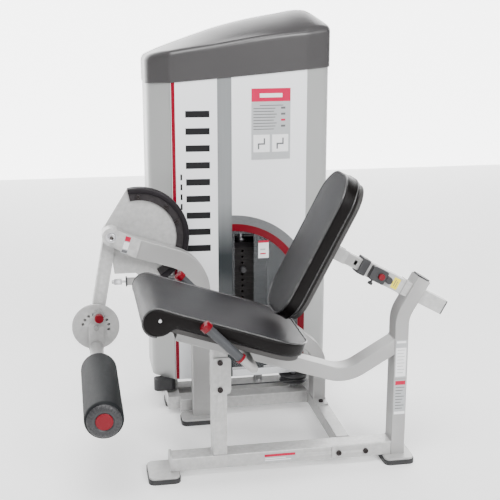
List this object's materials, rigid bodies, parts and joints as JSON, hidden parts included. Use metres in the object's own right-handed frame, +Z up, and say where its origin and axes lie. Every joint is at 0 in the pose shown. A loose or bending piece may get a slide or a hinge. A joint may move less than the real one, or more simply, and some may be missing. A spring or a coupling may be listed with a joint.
{
  "type": "leg extension machine",
  "caption": "Selectorized leg extension machine with a padded reclined seat, swinging lever and shin roller, cable cam, and a shrouded weight stack tower.",
  "frame": {"origin": "on the floor under the middle of the machine's bounding box", "axes": "+Z up, the user faces -X, the weight tower is on the +Y side"},
  "size_m": [1.3626, 1.1999, 1.6447],
  "materials": {
    "frame_paint": "light silver grey powder coat, satin",
    "foot_rubber": "black moulded rubber",
    "bolt_black": "black oxide socket screws",
    "black_plastic": "black moulded plastic",
    "vinyl": "dark charcoal upholstery vinyl",
    "board": "black painted plywood",
    "grip_rubber": "grey rubber grip",
    "red_accent": "crimson glossy plastic",
    "track_black": "dark textured coat",
    "steel_zinc": "bright zinc steel",
    "chrome_rod": "polished guide rods",
    "plate_iron": "black painted iron plates",
    "cable_black": "black coated steel cable",
    "foam": "closed cell foam skin",
    "pulley_nylon": "black nylon pulley",
    "shroud_white": "white shroud",
    "shroud_silver": "silver shroud",
    "band_grey": "grey translucent band",
    "window_tint": "tinted clear plastic",
    "cap_charcoal": "charcoal moulded cover"
  },
  "bodies": {
    "frame": {"back_sleeve": "frame_paint", "base_beams": "frame_paint", "bridge_tube": "frame_paint", "cable_drop": "cable_black", "cable_span": "cable_black", "centre_band": "band_grey", "foot_plates": "frame_paint", "frame_bolts": "bolt_black", "frame_brackets": "frame_paint", "front_post": "frame_paint", "guide_rods": "chrome_rod", "handle_grips": "grip_rubber", "handle_rings": "red_accent", "handle_tubes": "frame_paint", "left_column": "shroud_silver", "left_panel": "shroud_white", "machine_cable": "cable_black", "near_base_beam": "frame_paint", "pivot_arm": "frame_paint", "pivot_shaft": "steel_zinc", "plastic_caps": "black_plastic", "pulley_mounts": "steel_zinc", "rear_shroud": "shroud_silver", "rear_upright": "frame_paint", "right_column": "shroud_silver", "right_panel": "shroud_white", "rubber_feet": "foot_rubber", "seat_board": "board", "seat_pad": "vinyl", "seat_rail": "frame_paint", "sleeve_fittings": "black_plastic", "stack_cushions": "foot_rubber", "stack_plates": "plate_iron", "stack_window": "window_tint", "tower_cap": "cap_charcoal", "tower_frame": "frame_paint"},
    "lever": {"lever_arm": "frame_paint", "cam_plate": "frame_paint", "cam_track": "track_black", "cam_bolts": "bolt_black", "cable_on_cam": "cable_black", "index_disc": "frame_paint"},
    "crank": {"crank_arm": "frame_paint"},
    "plunger": {"pull_plunger": "red_accent"},
    "roller": {"foam_roller": "foam", "roller_cap": "red_accent"},
    "start_stop": {"stop_screw": "steel_zinc"},
    "back_rest": {"back_carriage": "frame_paint", "back_board": "board", "back_pad": "vinyl"},
    "adjust_button": {"back_button": "red_accent"},
    "lifted_stack": {"lifted_plates": "plate_iron", "selector_stem": "steel_zinc"},
    "weight_pin": {"selector_pin": "black_plastic"},
    "arm_wheel": {"arm_pulley": "pulley_nylon"},
    "floor_wheel": {"floor_pulley": "pulley_nylon"},
    "return_wheel": {"return_pulley": "pulley_nylon"},
    "riser_wheel": {"riser_pulley": "pulley_nylon"},
    "top_wheel_left": {"top_pulley_left": "pulley_nylon"},
    "top_wheel_right": {"top_pulley_right": "pulley_nylon"}
  },
  "joints": [
    {"name": "lever_swing", "type": "hinge", "parent": "frame", "child": "lever", "pos_m": [-0.515, 0.2, 0.796], "axis": [0, 1, 0], "range_deg": [0, 95], "deforming": ["cable_span"]},
    {"name": "crank_index", "type": "hinge", "parent": "lever", "child": "crank", "pos_m": [-0.587, 0.165, 0.419], "axis": [0, 1, 0], "range_deg": [-50, 50]},
    {"name": "plunger_pull", "type": "slide", "parent": "crank", "child": "plunger", "axis": [0, -1, 0], "range_m": [0, 0.012], "stiffness_N_per_m": 600},
    {"name": "roller_spin", "type": "hinge", "parent": "crank", "child": "roller", "pos_m": [-0.588, -0.33, 0.338], "axis": [0, 1, 0], "continuous": true},
    {"name": "start_stop_screw", "type": "slide", "parent": "frame", "child": "start_stop", "axis": [1, 0, 0], "range_m": [0, 0.008]},
    {"name": "back_rest_slide", "type": "slide", "parent": "frame", "child": "back_rest", "axis": [0.8755, 0, -0.4833], "range_m": [-0.1, 0.05]},
    {"name": "adjust_button_press", "type": "slide", "parent": "frame", "child": "adjust_button", "axis": [0, 1, 0], "range_m": [0, 0.004], "stiffness_N_per_m": 500},
    {"name": "stack_lift", "type": "slide", "parent": "frame", "child": "lifted_stack", "axis": [0, 0, 1], "range_m": [0, 0.45], "deforming": ["cable_drop"]},
    {"name": "weight_pin_pull", "type": "slide", "parent": "lifted_stack", "child": "weight_pin", "axis": [0, -1, 0], "range_m": [0, 0.015]},
    {"name": "arm_wheel_spin", "type": "hinge", "parent": "frame", "child": "arm_wheel", "pos_m": [-0.205, 0.206, 0.534], "axis": [0, 1, 0], "range_deg": [-581, 581]},
    {"name": "floor_wheel_spin", "type": "hinge", "parent": "frame", "child": "floor_wheel", "pos_m": [-0.115, 0.206, 0.163], "axis": [0, 1, 0], "range_deg": [-581, 581]},
    {"name": "return_wheel_spin", "type": "hinge", "parent": "frame", "child": "return_wheel", "pos_m": [0.243, 0.263, 0.118], "axis": [0, 0, 1], "range_deg": [-581, 581]},
    {"name": "riser_wheel_spin", "type": "hinge", "parent": "frame", "child": "riser_wheel", "pos_m": [-0.15, 0.32, 0.163], "axis": [0, 1, 0], "range_deg": [-581, 581]},
    {"name": "top_wheel_left_spin", "type": "hinge", "parent": "frame", "child": "top_wheel_left", "pos_m": [-0.15, 0.35, 1.33], "axis": [0, 1, 0], "range_deg": [-581, 581]},
    {"name": "top_wheel_right_spin", "type": "hinge", "parent": "frame", "child": "top_wheel_right", "pos_m": [-0.015, 0.35, 1.33], "axis": [0, 1, 0], "range_deg": [-581, 581]}
  ],
  "couplings": [
    {"joint": "stack_lift", "follows": "lever_swing", "m_per_rad": 0.27},
    {"joint": "arm_wheel_spin", "follows": "lever_swing", "ratio": -6},
    {"joint": "floor_wheel_spin", "follows": "lever_swing", "ratio": 6},
    {"joint": "return_wheel_spin", "follows": "lever_swing", "ratio": -4.7368},
    {"joint": "riser_wheel_spin", "follows": "lever_swing", "ratio": -6},
    {"joint": "top_wheel_left_spin", "follows": "lever_swing", "ratio": -6},
    {"joint": "top_wheel_right_spin", "follows": "lever_swing", "ratio": -6}
  ]
}
